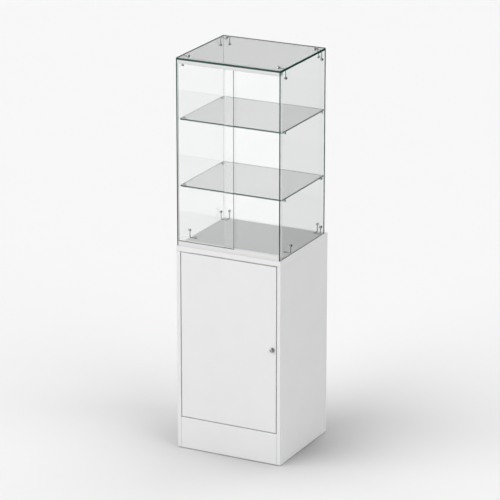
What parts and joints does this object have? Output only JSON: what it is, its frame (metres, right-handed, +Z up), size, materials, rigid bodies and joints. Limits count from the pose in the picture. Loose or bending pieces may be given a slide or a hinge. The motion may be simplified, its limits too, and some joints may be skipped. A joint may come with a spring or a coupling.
{
  "type": "pedestal display case",
  "caption": "Tall white storage cabinet with a hinged lockable door, carrying a glass showcase with glass shelves and two sliding glass doors.",
  "frame": {"origin": "middle of the cabinet's footprint, on the floor", "axes": "+Z up; -Y is the front, with the doors; +X is to the right seen from the front"},
  "size_m": [0.45, 0.422, 1.5882],
  "materials": {
    "white_board": "satin white laminate",
    "glass": "clear float glass with a green edge",
    "track_plastic": "satin",
    "chrome": "polished",
    "steel": "zinc plated",
    "nylon": "satin",
    "dowel_wood": "raw beech",
    "buffer_rubber": "matt",
    "grey_deck": "matt grey laminate"
  },
  "bodies": {
    "case": {"left_side_panel": "white_board", "right_side_panel": "white_board", "top_board": "white_board", "bottom_board": "white_board", "plinth_board": "white_board", "back_panel": "white_board", "cabinet_shelf": "white_board", "left_side_glass": "glass", "right_side_glass": "glass", "back_glass": "glass", "top_glass": "glass", "upper_glass_shelf": "glass", "lower_glass_shelf": "glass", "bottom_track": "track_plastic", "top_track": "track_plastic", "front_left_top_clip": "chrome", "front_right_top_clip": "chrome", "rear_left_top_clip": "chrome", "rear_right_top_clip": "chrome", "front_left_base_clip": "chrome", "front_right_base_clip": "chrome", "rear_left_base_clip": "chrome", "rear_right_base_clip": "chrome", "pane_screws": "chrome", "top_foot_screws": "chrome", "base_foot_screws": "chrome", "upper_shelf_studs": "chrome", "lower_shelf_studs": "chrome", "cabinet_shelf_pins": "steel", "cam_fittings": "steel", "cam_bolts": "steel", "upper_pivot_plate": "steel", "lower_pivot_plate": "steel", "pivot_plate_screws": "steel", "lock_keeper": "steel", "keeper_screws": "steel", "track_screws": "steel", "floor_glides": "nylon", "pivot_washer": "nylon", "door_stops": "nylon", "pane_washers": "nylon", "carcass_dowels": "dowel_wood", "stop_buffers": "buffer_rubber", "deck_panel": "grey_deck"},
    "cabinet_door": {"cabinet_door": "white_board", "door_bushes": "nylon", "lock_housing": "chrome", "lock_nut": "steel"},
    "lock_core": {"lock_knob": "chrome", "lock_cam": "steel", "lock_cam_screw": "steel"},
    "left_glass_door": {"left_sliding_door": "glass"},
    "right_glass_door": {"right_sliding_door": "glass"}
  },
  "joints": [
    {"name": "cabinet_door_hinge", "type": "hinge", "parent": "case", "child": "cabinet_door", "pos_m": [-0.1975, -0.1995, 0.4735], "axis": [0, 0, -1], "range_deg": [0, 110]},
    {"name": "lock_turn", "type": "hinge", "parent": "cabinet_door", "child": "lock_core", "pos_m": [0.1893, -0.206, 0.4755], "axis": [0, -1, 0], "range_deg": [0, 90]},
    {"name": "left_door_slide", "type": "slide", "parent": "case", "child": "left_glass_door", "axis": [1, 0, 0], "range_m": [0, 0.195]},
    {"name": "right_door_slide", "type": "slide", "parent": "case", "child": "right_glass_door", "axis": [-1, 0, 0], "range_m": [0, 0.195]}
  ]
}
